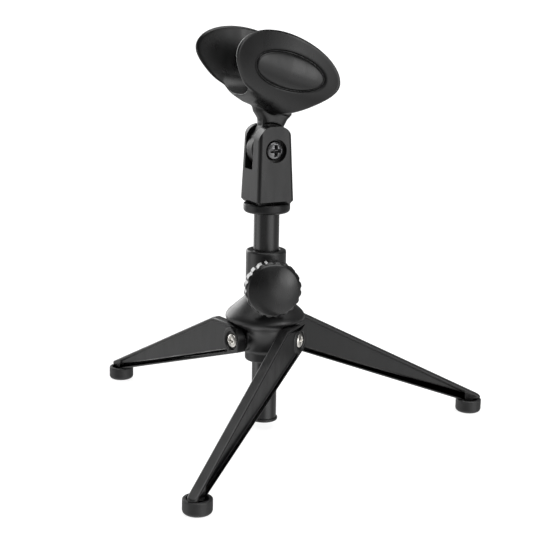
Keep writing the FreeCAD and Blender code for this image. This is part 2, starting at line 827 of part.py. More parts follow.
def build_tilt_washers():
    """Two friction washers, one on each side of the clip's tongue."""
    inner, outer = size("tilt_screw_radius"), size("tilt_washer_radius")
    seat, aside = size("slot_width") / 2, size("slot_aside")
    thick = size("tilt_washer_thick")
    rings = []
    for low in (seat - aside - thick, -seat - aside):
        ring = Part.makeCylinder(float(outer), float(thick), Vector(0, 0, float(low)))
        rings.append(ring.cut(Part.makeCylinder(float(inner), 20, Vector(0, 0, -10))))
    turn = Rotation(Vector(0, 0, 1), DRIVING_SIZES["body_azimuth"]) * Rotation(Vector(1, 0, 0), 90)
    base = Vector(0, 0, float(size("tilt_level")))
    return frozen("tilt_washers", Part.makeCompound(rings), Placement(base, turn))


# ---------------------------------------------------------------- microphone clip

def cradle_section(distance, half_width, wall):
    """Closed section across the microphone's axis, at a distance along it: two walls and a bridge."""
    inner, top, depth = half_width - wall, OUTSIDE / 2, float(size("bridge_depth"))
    rise = float(size("seat_rise"))
    foot, swell = half_width - float(size("bridge_inset")), half_width - float(size("bridge_inset")) / 4

    def at(y, z):
        return Vector(distance, y, z)

    def line(start, end):
        return Part.LineSegment(at(*start), at(*end)).toShape()

    def arc(start, middle, end):
        return Part.Arc(at(*start), at(*middle), at(*end)).toShape()

    return Part.Wire([
        line((-half_width, top), (-half_width, 0)),
        arc((-half_width, 0), (-swell, -depth * 0.5), (-foot, -depth)),
        line((-foot, -depth), (foot, -depth)),
        arc((foot, -depth), (swell, -depth * 0.5), (half_width, 0)),
        line((half_width, 0), (half_width, top)),
        line((half_width, top), (inner, top)),
        line((inner, top), (inner, rise)),
        arc((inner, rise), (0, rise - float(size("seat_radius"))), (-inner, rise)),
        line((-inner, rise), (-inner, top)),
        line((-inner, top), (-half_width, top)),
    ])


def flared_cradle(wall, extra=0.0):
    """Trough for the microphone: straight in the middle, its walls flaring outwards at both ends."""
    half = float(size("seat_radius")) + wall + extra
    middle, reach = float(size("seat_half_length")), OUTSIDE
    flare = float(size("wing_flare")) * (reach - middle) / (float(size("wing_length")) - middle)
    widths = {-reach: half + flare, -middle: half, middle: half, reach: half + flare}
    sections = [cradle_section(along, width, wall + extra) for along, width in widths.items()]
    return Part.makeLoft(sections, True, True)


def across_cradle(wire):
    """A prism through both walls, from an outline drawn in XY that becomes the side view of a wing."""
    prism = Part.Face(wire).extrude(Vector(0, 0, 2 * OUTSIDE))
    prism.translate(Vector(0, 0, -OUTSIDE))
    prism.rotate(Vector(0, 0, 0), Vector(1, 0, 0), 90)
    return prism


def wing_outline():
    """Ellipse above, and straight lines from near the tips down to the bridge."""
    angle = math.radians(float(size("wing_low_angle")))
    ellipse = Part.Ellipse(Vector(0, 0, 0), float(size("wing_length")), float(size("wing_height")))
    arc = Part.ArcOfEllipse(ellipse, -angle, math.pi + angle)
    left, right, low = -float(size("wing_low_left")), float(size("wing_low_right")), -float(size("wing_low"))
    corners = [arc.EndPoint, Vector(left, low, 0), Vector(right, low, 0), arc.StartPoint]
    lines = [Part.LineSegment(start, end).toShape() for start, end in zip(corners, corners[1:])]
    return Part.Wire([arc.toShape()] + lines)


def clip_wings():
    """Both wings and the bridge below them, in the frame of the microphone's axis."""
    wall = float(size("seat_wall"))
    wings = flared_cradle(wall).common(across_cradle(wing_outline()))
    centre = Vector(float(size("pad_along")), -float(size("pad_drop")), 0)
    oval = Part.Ellipse(centre, float(size("pad_length")), float(size("pad_height")))
    pads = flared_cradle(wall, float(size("pad_rise"))).common(across_cradle(Part.Wire(oval.toShape())))
    return wings.fuse(pads)


def slab(corners, thick):
    """A flat plate across the tilt axis, from the corners of its front view."""
    points = [Vector(x, -thick / 2, z) for x, z in corners]
    return Part.Face(Part.makePolygon(points + points[:1])).extrude(Vector(0, thick, 0))


def clip_neck():
    """Front view of the neck: its sides flare out to the bridge, and it is thinner just below it.

    The thin part ends inside the bridge's wall.
    """
    low = float(size("neck_low"))
    root = [(-10.4, low), (10.2, low), (11.0, 18.6), (12.3, 20.1)]
    block = slab(root + [(14.2, 21.2), (-12.6, 26.4)], float(size("neck_thick")))
    web = slab(root + [(14.8, 21.2), (14.8, 24.4), (-14.5, 35.3), (-14.5, 29.5), (-11.6, 22.5)],
               float(size("web_thick")))
    return block.fuse(web)


def build_mic_clip():
    """One-piece flexible clip: tongue, neck, bridge, two flared oval wings and their raised ovals."""
    wings = clip_wings()
    wings.rotate(Vector(0, 0, 0), Vector(0, 1, 0), float(size("wing_tilt")))
    wings.translate(Vector(0, 0, float(size("wing_level"))))
    thick, radius = float(size("tongue_thick")), float(size("tongue_radius"))
    tongue = Part.makeCylinder(radius, thick, Vector(0, thick / 2, 0), Vector(0, -1, 0))
    stem = Part.makeBox(2 * radius, thick, float(size("neck_low")) + 1, Vector(-radius, -thick / 2, 0))
    hole_radius = float(size("tilt_screw_radius") + size("running_gap"))
    hole = Part.makeCylinder(hole_radius, 40, Vector(0, 20, 0), Vector(0, -1, 0))
    clip = wings.fuse([clip_neck(), tongue, stem]).cut(hole).removeSplitter()
    turn = Rotation(Vector(0, 0, 1), DRIVING_SIZES["body_azimuth"])
    base = turn.multVec(Vector(0, DRIVING_SIZES["slot_aside"], DRIVING_SIZES["tilt_level"]))
    return frozen("mic_clip", clip, Placement(base, turn))


# ---------------------------------------------------------------- assembly and export

def build_all():
    parts = [
        build_tube(), build_tube_cap(), build_hub(),
        build_knob(), build_knob_stud(), build_brake_pad(),
        build_lock_ring(), build_thread_insert(), build_swivel_body(),
        build_tilt_screw(), build_tilt_nut(), build_tilt_washers(), build_mic_clip(),
    ]
    for number, name in enumerate(LEGS):
        azimuth = DRIVING_SIZES["leg_azimuth"] - 120 * number
        for build in (build_leg, build_foot, build_leg_screw, build_leg_washer):
            parts.append(build(name, azimuth))
    return parts


def check(parts):
    """Stop on a failed feature, or on a part that is empty, invalid or in the wrong number of solids."""
    doc.recompute()
    for item in doc.Objects:
        bad = {"Invalid", "Error"} & set(item.State)
        if bad:
            raise RuntimeError(f"{item.Name} is {bad}")
    for part in parts:
        if part.Shape.isNull() or not part.Shape.isValid():
            raise RuntimeError(f"{part.Label} has no valid shape")
        expected = 2 if part.Label == "tilt_washers" else 1
        if len(part.Shape.Solids) != expected:
            raise RuntimeError(f"{part.Label} has {len(part.Shape.Solids)} solids")


def export(parts):
    os.makedirs("parts", exist_ok=True)
    for part in parts:
        part.Shape.exportStep(f"parts/{part.Label}.step")
        print(f"{part.Label:20s} {part.Shape.Volume:10.1f} mm3")


PARTS = build_all()
check(PARTS)
export(PARTS)
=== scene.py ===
import json
import math

import bpy
import numpy as np
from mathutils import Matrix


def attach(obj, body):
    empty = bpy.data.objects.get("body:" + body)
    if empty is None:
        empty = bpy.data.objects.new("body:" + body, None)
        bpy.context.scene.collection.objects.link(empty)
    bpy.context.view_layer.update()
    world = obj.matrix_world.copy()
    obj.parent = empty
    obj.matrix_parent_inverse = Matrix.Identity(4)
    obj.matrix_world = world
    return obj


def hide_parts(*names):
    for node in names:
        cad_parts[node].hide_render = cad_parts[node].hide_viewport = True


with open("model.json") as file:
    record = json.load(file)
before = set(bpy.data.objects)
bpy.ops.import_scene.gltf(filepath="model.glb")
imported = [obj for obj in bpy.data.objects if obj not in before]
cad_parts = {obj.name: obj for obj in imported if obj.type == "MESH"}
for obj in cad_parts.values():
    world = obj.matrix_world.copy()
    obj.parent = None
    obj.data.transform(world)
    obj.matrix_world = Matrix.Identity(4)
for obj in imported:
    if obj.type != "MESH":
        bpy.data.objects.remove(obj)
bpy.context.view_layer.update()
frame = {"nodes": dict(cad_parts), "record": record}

import openvdb
from mathutils import Matrix, Vector

MM = 0.001

# Sizes and places are in millimetres and angles in degrees, as in the CAD.
# A line is a normal and its distance from the origin. The last number in a call of join, common
# or cut is the size of its fillet.

CAMERA_PLACE, CAMERA_TARGET = (0.4, -797.8, 286.4), (0.4, 0.0, 105.3)
CAMERA_LENS, CAMERA_SENSOR, CAMERA_ROLL = 88.73, 36.0, 0.90

# Soft patches of light: azimuth and height of the middle, the angles from there at which the
# light is full and zero, and its brightness.
STUDIO = (
    (0, 90, 0, 180, 0.2),      # room
    (0, -90, 74, 94, 0.4),     # table
    (0, -90, 20, 65, 0.9),     # table near the stand
    (-48, -8, 10, 38, 1.25),   # front right, low
    (-172, -10, 8, 28, 1.2),   # left, low
    (152, -22, 12, 45, 0.2),   # back left, on the table
    (-60, 80, 16, 38, 3.6),    # overhead
    (-38, 14, 6, 24, 3.0),     # front right, above eye level
    (125, 14, 12, 30, 3.6),    # back left, on the rims
)
FLOOR_RADIUS, BACKDROP_RADIUS = 20.0, 21.0   # metres

# Joints
LEG_AZIMUTH = {"left": 126.87, "right": 6.87, "front": -113.13}
PIVOT_ALONG, PIVOT_LEVEL = 1.5, 60.8
KNOB_AZIMUTH, KNOB_LEVEL = -80.0, 97.3
BODY_AZIMUTH, TILT_LEVEL, SLOT_ASIDE = 27.9, 178.9, 2.4

# Clip's trough: tilt, and its middle's level above the tilt pivot
WING_TILT, WING_LEVEL = 20.3, 50.2
# Clip's wings and trough, measured along the microphone and up from the trough's middle
WING_REACH, WING_TOP, WING_LOW = 36.3, 20.3, 28.0
WING_RIGHT_LINE, WING_LEFT_LINE = (0.754, -0.658, 30.2), (-0.605, -0.797, 26.9)
SEAT_HALF, WING_FLARE, FLARE_POWER = 22.9, 7.0, 1.8
TOP_FLARE, TOP_FLARE_LEVEL = 0.9, 20.0
BELLY, BELLY_LEVEL, BELLY_POWER = 7.5, 20.7, 2.2
WALL, SEAT_RADIUS, SEAT_RISE, SEAT_POWER = 3.2, 19.7, 1.9, 2.8
MOUTH_START, MOUTH_LENGTH, MOUTH_DROP = -2.0, 14.0, 5.0
OVAL_REACH, OVAL_HEIGHT, OVAL_ALONG, OVAL_UP, OVAL_TURN = 22.9, 10.3, 3.0, -0.6, 4.0
OVAL_RISE, OVAL_POWER = 2.3, 0.8
GROOVE_DEEP, GROOVE_OUT, GROOVE_WIDE = 1.3, 0.3, 0.6
# Bottom edge of the wings: place along, and depth below the trough's middle.
LIP = ((-37, 13.5), (-21.7, 17.3), (-12.8, 19.5), (-6, 20.8), (3, 21.2), (11.4, 23.1), (20, 23.4))
KEEL_DROP, KEEL_HALF = 4.5, 16.5

# Clip's neck, as level above the tilt pivot and place to the side
NECK_LEFT = ((12, -4.9), (17, -4.6), (19.1, -5.4), (20.7, -6.5), (22.9, -8.0), (25, -8.6))
NECK_RIGHT = ((11.5, 10.3), (13.3, 11.0), (15.1, 12.0), (16.9, 13.0), (18, 14.0), (18.9, 15.1),
              (19.8, 16.5))
STEM_LEFT, STEM_RIGHT, STEM_LOW, STEM_HIGH = ((8.0, -9.0), (14.0, -4.4)), 9.5, 4.0, 19.0
BLOCK_HALF, BLOCK_EDGE, BLOCK_LOW_ROUND, BLOCK_TOP_LINE = 5.5, 5.0, 15.9, (0.283, 0.959, 22.6)
WEB_HALF, WEB_LOW, WEB_HIGH, WEB_END_LINE = 2.5, 18.0, 36.0, (0.347, 0.938, 29.0)
TONGUE_HALF, TONGUE_RADIUS, TONGUE_BORE = 4.1, 11.5, 3.05

# Hub
SLEEVE_RADIUS, HUB_LOW, HUB_HIGH, TUBE_BORE = 12.5, 45.8, 116.4, 8.04
CONE_LINE, RIM_RADIUS, BELL_LOW = (0.661, 0.751, 73.45), 25.5, 53.0
FLARE_RADIUS, FLARE_OUT, FLARE_LEVEL = 18.0, 31.8, 54.76
BOSS_RADIUS, BOSS_FACE, STUD_BORE = 8.0, 20.1, 4.05
LUG_RADIUS, LUG_FACE, LUG_BORE, LUG_BORE_FLOOR = 8.0, 18.15, 2.5, 10.5
POCKET_HIGH, POCKET_BACK, POCKET_ROUND = 72.1, 9.6, 10.8

# Knob, measured out from the tube's axis
KNOB_RADIUS, KNOB_BACK, KNOB_FRONT = 17.3, 20.6, 29.6
NOTCHES, NOTCH_OUT, NOTCH_RADIUS = 20, 17.9, 1.35
DOME_RADIUS, DOME_CENTRE, DOME_ROUND, DOME_BACK = 16.4, 1.3, 33.1, 25.0
KNOB_GROOVE_OUT, KNOB_GROOVE_AT, KNOB_GROOVE_RADIUS = 16.8, 29.7, 0.6
KNOB_BORE, KNOB_BORE_END = 4.05, 28.0

LEG_SCREW = {"shank": 2.45, "start": 10.6, "seat": 23.3, "head": 4.75, "height": 2.6, "arm": 3.0}
TILT_SCREW = {"shank": 2.95, "start": -11.0, "seat": 7.95, "head": 6.1, "height": 3.6, "arm": 4.2}

EDGE, LEG_EDGE = 0.4, 0.9   # rounding of the CAD nodes' edges


# ---------------------------------------------------------------- camera, light and floor

def add_camera():
    """Camera at the height and distance that the object is seen from, with a slight roll."""
    place, target = Vector(CAMERA_PLACE) * MM, Vector(CAMERA_TARGET) * MM
    forward = (target - place).normalized()
    right = forward.cross(Vector((0, 0, 1))).normalized()
    up = right.cross(forward)
    roll = math.radians(CAMERA_ROLL)
    right, up = (right * math.cos(roll) + up * math.sin(roll),
                 up * math.cos(roll) - right * math.sin(roll))
    camera = bpy.data.objects.new("camera", bpy.data.cameras.new("camera"))
    bpy.context.scene.collection.objects.link(camera)
    camera.data.lens, camera.data.sensor_width = CAMERA_LENS, CAMERA_SENSOR
    camera.data.clip_start, camera.data.clip_end = 0.05, 100.0
    turn = Matrix((right, up, -forward)).transposed().to_4x4()
    camera.matrix_world = Matrix.Translation(place) @ turn
    bpy.context.scene.camera = camera


def add_world():
    """Studio made of soft patches of light, added up by the direction that is looked in."""
    world = bpy.data.worlds.new("studio")
    world.use_nodes = True
    bpy.context.scene.world = world
    tree = world.node_tree
    background = tree.nodes["Background"]
    background.inputs["Color"].default_value = (1.0, 1.0, 1.0, 1.0)
    place = tree.nodes.new("ShaderNodeTexCoord").outputs["Generated"]
    total = None
    for azimuth, height, full, zero, level in STUDIO:
        (towards_x, towards_y), _ = flat_axes(azimuth)
        flat = math.cos(math.radians(height))
        facing = tree.nodes.new("ShaderNodeVectorMath")
        facing.operation = "DOT_PRODUCT"
        facing.inputs[1].default_value = (flat * towards_x, flat * towards_y,
                                          math.sin(math.radians(height)))
        tree.links.new(place, facing.inputs[0])
        patch = tree.nodes.new("ShaderNodeMapRange")
        patch.interpolation_type = "SMOOTHSTEP"
        start, end = math.cos(math.radians(zero)), math.cos(math.radians(full))
        values = {"From Min": start, "From Max": end, "To Min": 0.0, "To Max": level}
        for key, value in values.items():
            patch.inputs[key].default_value = value
        tree.links.new(facing.outputs["Value"], patch.inputs["Value"])
        if total is None:
            total = patch.outputs["Result"]
        else:
            both = tree.nodes.new("ShaderNodeMath")
            tree.links.new(total, both.inputs[0])
            tree.links.new(patch.outputs["Result"], both.inputs[1])
            total = both.outputs[0]
    tree.links.new(total, background.inputs["Strength"])


def add_stage(item, name, glow, tone):
    """Pale surface that is seen but doesn't light the object, which the studio does."""
    item.name = name
    material = bpy.data.materials.new(name)
    material.use_nodes = True
    values = {"Base Color": (tone, tone, tone, 1.0), "Roughness": 0.9, "Specular IOR Level": 0.0,
              "Emission Color": (1.0, 1.0, 1.0, 1.0), "Emission Strength": glow}
    for key, value in values.items():
        material.node_tree.nodes["Principled BSDF"].inputs[key].default_value = value
    item.data.materials.append(material)
    item.visible_diffuse = item.visible_glossy = item.visible_shadow = False


def add_floor():
    """Pale floor that takes a faint shadow, and a white backdrop all round it."""
    bpy.ops.mesh.primitive_circle_add(vertices=64, radius=FLOOR_RADIUS, fill_type="NGON")
    add_stage(bpy.context.object, "floor", glow=0.85, tone=0.3)
    bpy.ops.mesh.primitive_uv_sphere_add(radius=BACKDROP_RADIUS)
    add_stage(bpy.context.object, "backdrop", glow=1.0, tone=0.0)


# ---------------------------------------------------------------- materials

class Nodes:
    """Short way to add and link shader nodes."""

    def __init__(self, name):
        self.material = bpy.data.materials.new(name)
        self.material.use_nodes = True
        self.tree = self.material.node_tree
        self.shader = self.tree.nodes["Principled BSDF"]
        self.place = self.add("ShaderNodeTexCoord").outputs["Object"]

    def add(self, kind, **values):
        node = self.tree.nodes.new(kind)
        for key, value in values.items():
            setattr(node, key, value)
        return node

    def link(self, source, target):
        self.tree.links.new(source, target)

    def stretched(self, scale):
        node = self.add("ShaderNodeMapping")
        node.inputs["Scale"].default_value = scale
        self.link(self.place, node.inputs["Vector"])
        return node.outputs["Vector"]

    def noise(self, scale, detail=2.0, stretch=(1, 1, 1)):
        node = self.add("ShaderNodeTexNoise")
        node.inputs["Scale"].default_value = scale
        node.inputs["Detail"].default_value = detail
        self.link(self.stretched(stretch), node.inputs["Vector"])
        return node.outputs["Fac"]

    def ramp(self, source, low, high, start=0.35, end=0.65):
        node = self.add("ShaderNodeMapRange")
        values = {"From Min": start, "From Max": end, "To Min": low, "To Max": high}
        for key, value in values.items():
            node.inputs[key].default_value = value
        self.link(source, node.inputs["Value"])
        return node.outputs["Result"]

    def math(self, operation, first, second):
        node = self.add("ShaderNodeMath", operation=operation)
        for socket, value in zip(node.inputs, (first, second)):
            if isinstance(value, (int, float)):
                socket.default_value = value
            else:
                self.link(value, socket)
        return node.outputs[0]

    def mix(self, factor, first, second):
        node = self.add("ShaderNodeMix", data_type="RGBA")
        self.link(factor, node.inputs[0])
        for socket, value in zip((node.inputs[6], node.inputs[7]), (first, second)):
            if isinstance(value, tuple):
                socket.default_value = (*value, 1.0)
            else:
                self.link(value, socket)
        return node.outputs[2]

    def bump(self, height, depth, before=None):
        node = self.add("ShaderNodeBump")
        node.inputs["Strength"].default_value = 1.0
        node.inputs["Distance"].default_value = depth
        self.link(height, node.inputs["Height"])
        if before is not None:
            self.link(before, node.inputs["Normal"])
        return node.outputs["Normal"]

    def set(self, **values):
        for key, value in values.items():
            self.shader.inputs[key.replace("_", " ")].default_value = value


def grey(level):
    """Nearly neutral grey, slightly blue."""
    return (level, level, level * 1.04)


def moulded(name, dark, light, rough, grain=700.0, depth=0.00003, **values):
    """Moulded plastic: fine grain, slow drift of colour and gloss, light specks, faint scuffs."""
    m = Nodes(name)
    drift = m.noise(scale=45.0, detail=4.0)
    speck = m.noise(scale=2500.0, detail=1.0)
    tone = m.mix(m.ramp(drift, 0.0, 1.0), grey(dark), grey(light))
    specks = m.ramp(speck, 0.0, 0.25, start=0.55, end=0.75)
    m.link(m.mix(specks, tone, grey(light * 1.6)), m.shader.inputs["Base Color"])
    scuff = m.noise(scale=160.0, detail=5.0, stretch=(1, 1, 0.25))
    gloss = m.math("ADD", m.ramp(drift, rough - 0.04, rough + 0.04), m.ramp(scuff, -0.04, 0.07))
    m.link(gloss, m.shader.inputs["Roughness"])
    fine = m.bump(m.noise(grain, detail=3.0), depth)
    m.link(m.bump(m.noise(scale=60.0), depth * 2.0, fine), m.shader.inputs["Normal"])
    m.set(**values)
    return m.material


def coated(name, level, rough, gloss=0.5):
    """Black coating on metal: slight orange peel, fine streaks along Z, a soft clear layer."""
    m = Nodes(name)
    drift = m.noise(scale=30.0, detail=4.0)
    tone = m.mix(m.ramp(drift, 0.0, 1.0), grey(level), grey(level * 1.5))
    m.link(tone, m.shader.inputs["Base Color"])
    streak = m.noise(scale=420.0, detail=3.0, stretch=(1, 1, 0.05))
    dull = m.math("ADD", m.ramp(drift, rough - 0.03, rough + 0.03), m.ramp(streak, -0.03, 0.05))
    m.link(dull, m.shader.inputs["Roughness"])
    m.link(m.bump(m.noise(scale=900.0), 0.00001), m.shader.inputs["Normal"])
    m.set(Specular_IOR_Level=gloss, Coat_Weight=0.3 * gloss, Coat_Roughness=0.2)
    return m.material


def metal(name, colour, rough):
    """Bare or plated metal with fine marks and slight tarnish."""
    m = Nodes(name)
    tarnish = m.ramp(m.noise(scale=350.0, detail=4.0), 0.0, 0.6)
    worn = tuple(channel * 0.72 for channel in colour)
    m.link(m.mix(tarnish, colour, worn), m.shader.inputs["Base Color"])
    marks = m.noise(scale=900.0, detail=4.0)
    m.link(m.ramp(marks, rough - 0.06, rough + 0.1), m.shader.inputs["Roughness"])
    m.link(m.bump(m.noise(scale=1500.0), 0.000008), m.shader.inputs["Normal"])
    m.set(Metallic=1.0)
    return m.material


def make_materials():
    """Material of each slot: dark and light tone, or colour, and roughness."""
    return {
        "hub_black": moulded("hub_black", 0.005, 0.008, 0.36),
        "leg_black": moulded("leg_black", 0.005, 0.008, 0.36),
        "knob_black": moulded("knob_black", 0.004, 0.006, 0.28, depth=0.00002),
        "swivel_black": moulded("swivel_black", 0.005, 0.008, 0.34, Specular_IOR_Level=0.38),
        "clip_black": moulded("clip_black", 0.003, 0.005, 0.30, Specular_IOR_Level=0.40),
        "foot_rubber": moulded("foot_rubber", 0.008, 0.013, 0.50, grain=1100.0, depth=0.00005),
        "tube_black": coated("tube_black", 0.006, 0.26),
        "ring_black": coated("ring_black", 0.008, 0.34, 0.25),
        "cap_black": moulded("cap_black", 0.008, 0.012, 0.4),
        "screw_nickel": metal("screw_nickel", (0.72, 0.70, 0.66), 0.26),
        "screw_black": metal("screw_black", (0.20, 0.20, 0.205), 0.28),
        "stud_steel": metal("stud_steel", (0.58, 0.58, 0.60), 0.34),
        "washer_nylon": moulded("washer_nylon", 0.55, 0.62, 0.5),
        "insert_brass": metal("insert_brass", (0.74, 0.56, 0.27), 0.30),
    }


# ---------------------------------------------------------------- distance fields

def grid(low, high, step):
    """Coordinates of a block of points, as three arrays that broadcast against each other."""
    lines = [np.arange(start, end, step, dtype=np.float32) for start, end in zip(low, high)]
    return np.meshgrid(*lines, indexing="ij", sparse=True)


def join(first, second, soft):
    """Both shapes as one, with a fillet of about the soft size where they meet."""
    gap = np.maximum(soft - np.abs(first - second), 0.0)
    return np.minimum(first, second) - gap * gap / (4.0 * soft)


def common(first, second, soft):
    """What two shapes share, with its new edges rounded."""
    return -join(-first, -second, soft)


def cut(first, second, soft):
    """The first shape without the second, with its new edges rounded."""
    return common(first, -second, soft)


def beyond(x, y, line):
    """Distance past a straight line."""
    return line[0] * x + line[1] * y - line[2]


def outline(points, at):
    """Side of an outline at some places along it."""
    return np.interp(at, *zip(*points))


def flat_axes(azimuth):
    """Level directions along an azimuth and square to it."""
    angle = math.radians(azimuth)
    return (math.cos(angle), math.sin(angle)), (-math.sin(angle), math.cos(angle))


def ellipse(x, y, width, height):
    """Distance to an ellipse, close to exact near its line."""
    far = np.sqrt((x / width) ** 2 + (y / height) ** 2)
    slope = np.sqrt((x / width ** 2) ** 2 + (y / height ** 2) ** 2) + 1e-6
    return far * (far - 1.0) / slope


def frame_at(azimuth, origin, lying=False):
    """Frame turned about Z; a lying one has its Z axis along the azimuth and its Y axis up."""
    turn = Matrix.Rotation(math.radians(azimuth), 4, "Z")
    if lying:
        turn = turn @ Matrix(((0, 0, 1, 0), (1, 0, 0, 0), (0, 1, 0, 0), (0, 0, 0, 1)))
    return Matrix.Translation(Vector(origin) * MM) @ turn


def skin(name, field, low, step, place, smooth=2):
    """Mesh of the surface where a field of distances is zero."""
    band = 3.0 * step
    volume = openvdb.FloatGrid(background=band)
    volume.copyFromArray(np.clip(field, -band, band).astype(np.float32))
    points, quads = volume.convertToQuads(0.0)
    points = (points * step + np.array(low)) * MM
    mesh = bpy.data.meshes.new(name)
    mesh.from_pydata(points.tolist(), [], quads.tolist())
    corners = points[quads]
    signed_volume = np.einsum("ij,ij->", np.cross(corners[:, 0], corners[:, 1]), corners[:, 2])
    if signed_volume < 0:
        mesh.flip_normals()
    mesh.transform(place)
    mesh.shade_smooth()
    piece = bpy.data.objects.new(name, mesh)
    bpy.context.scene.collection.objects.link(piece)
    even = piece.modifiers.new("even", "SMOOTH")
    even.factor, even.iterations = 0.5, smooth
    return piece


def stand_for(piece, node, body, slot):
    """The piece takes a CAD node's place, on its body and with its finish."""
    piece.data.materials.append(MATERIALS[slot])
    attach(piece, body)
    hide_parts(node)


# ---------------------------------------------------------------- clip

def wing_rim(along, up):
    """Side view of a wing: an ellipse above, straighter sides below that run in to the bridge."""
    top = ellipse(along, up, WING_REACH, WING_TOP)
    low = ellipse(along, up, WING_REACH, WING_LOW)
    sides = common(beyond(along, up, WING_RIGHT_LINE), beyond(along, up, WING_LEFT_LINE), 4.0)
    return common(np.where(up > 0, top, low), sides, 5.0)


def raised_oval(along, up):
    """How far a wing's outer face is raised by its oval and sunk by the groove about it."""
    turn = math.radians(OVAL_TURN)
    right, rise = along - OVAL_ALONG, up - OVAL_UP
    oval_x = right * math.cos(turn) + rise * math.sin(turn)
    oval_y = rise * math.cos(turn) - right * math.sin(turn)
    edge = ellipse(oval_x, oval_y, OVAL_REACH, OVAL_HEIGHT)
    dome = np.maximum(1.0 - (oval_x / OVAL_REACH) ** 2 - (oval_y / OVAL_HEIGHT) ** 2, 0.0)
    groove = GROOVE_DEEP * np.exp(-((edge - GROOVE_OUT) / GROOVE_WIDE) ** 2)
    return OVAL_RISE * dome ** OVAL_POWER - groove


def cradle(along, across, up):
    """Trough with a mouth that deepens towards one end, and two flared wings."""
    reach = np.abs(along) / WING_REACH
    above, below = np.maximum(up, 0.0), np.maximum(-up, 0.0)
    half = SEAT_HALF + WING_FLARE * reach ** FLARE_POWER
    half = half + TOP_FLARE * (above / TOP_FLARE_LEVEL) ** 2
    outer = half - BELLY * (below / BELLY_LEVEL) ** BELLY_POWER + raised_oval(along, up)
    floor = outline(LIP, along) + KEEL_DROP * np.maximum(1.0 - (across / KEEL_HALF) ** 2, 0.0)
    solid = common(across - outer, -up - floor, 2.5)
    solid = common(solid, wing_rim(along, up), 1.8)
    inner, sunk = half - WALL, np.maximum(SEAT_RISE - up, 0.0)
    depth = SEAT_RADIUS + MOUTH_DROP * np.clip((MOUTH_START - along) / MOUTH_LENGTH, 0.0, 1.0)
    far = (across / inner) ** SEAT_POWER + (sunk / depth) ** SEAT_POWER
    return cut(solid, (far ** (1.0 / SEAT_POWER) - 1.0) * SEAT_RADIUS, 1.8)


def neck(x, across, z):
    """Front view of the neck: a block clear of the ears, a thin web above, a round tongue below."""
    left, right, back = (outline(points, z) for points in (NECK_LEFT, NECK_RIGHT, STEM_LEFT))
    pivot = np.sqrt(x * x + z * z)
    sides = common(left - x, x - right, 1.0)
    block = common(sides, across - BLOCK_HALF, BLOCK_EDGE)
    block = common(block, common(beyond(x, z, BLOCK_TOP_LINE), BLOCK_LOW_ROUND - pivot, 0.3), 0.5)
    web = common(common(sides, across - WEB_HALF, 0.8), common(z - WEB_HIGH, WEB_LOW - z, 0.3), 0.3)
    web = common(web, beyond(x, z, WEB_END_LINE), 0.5)
    stem = common(common(back - x, x - STEM_RIGHT, 1.0), across - TONGUE_HALF, 0.4)
    stem = common(stem, common(z - STEM_HIGH, STEM_LOW - z, 0.3), 0.3)
    tongue = common(pivot - TONGUE_RADIUS, across - TONGUE_HALF, 0.6)
    return join(join(block, web, 0.8), join(stem, tongue, 0.5), 0.3)


def make_clip():
    step, low, high = 0.45, (-44.0, -33.5, -13.0), (44.5, 34.0, 84.0)
    x, y, z = grid(low, high, step)
    tilt, lift = math.radians(WING_TILT), z - WING_LEVEL
    along = x * math.cos(tilt) - lift * math.sin(tilt)
    up = x * math.sin(tilt) + lift * math.cos(tilt)
    across = np.abs(y)
    shape = join(cradle(along, across, up), neck(x, across, z), 1.2)
    shape = cut(shape, np.sqrt(x * x + z * z) - TONGUE_BORE, 0.3)
    _, aside = flat_axes(BODY_AZIMUTH)
    origin = (SLOT_ASIDE * aside[0], SLOT_ASIDE * aside[1], TILT_LEVEL)
    piece = skin("clip_moulding", shape, low, step, frame_at(BODY_AZIMUTH, origin))
    stand_for(piece, "mic_clip", "clip", "clip_black")


# ---------------------------------------------------------------- hub

def hub_turned(radius, z):
    """Collar, cone, soft rim and concave flare."""
    sleeve = common(radius - SLEEVE_RADIUS, common(z - HUB_HIGH, HUB_LOW - z, 0.5), 1.2)
    flare = FLARE_RADIUS - np.sqrt((radius - FLARE_OUT) ** 2 + (z - FLARE_LEVEL) ** 2)
    bell = common(common(radius - RIM_RADIUS, beyond(radius, z, CONE_LINE), 3.0), flare, 4.0)
    bell = common(bell, BELL_LOW - z, 0.5)
    return join(sleeve, bell, 2.0)


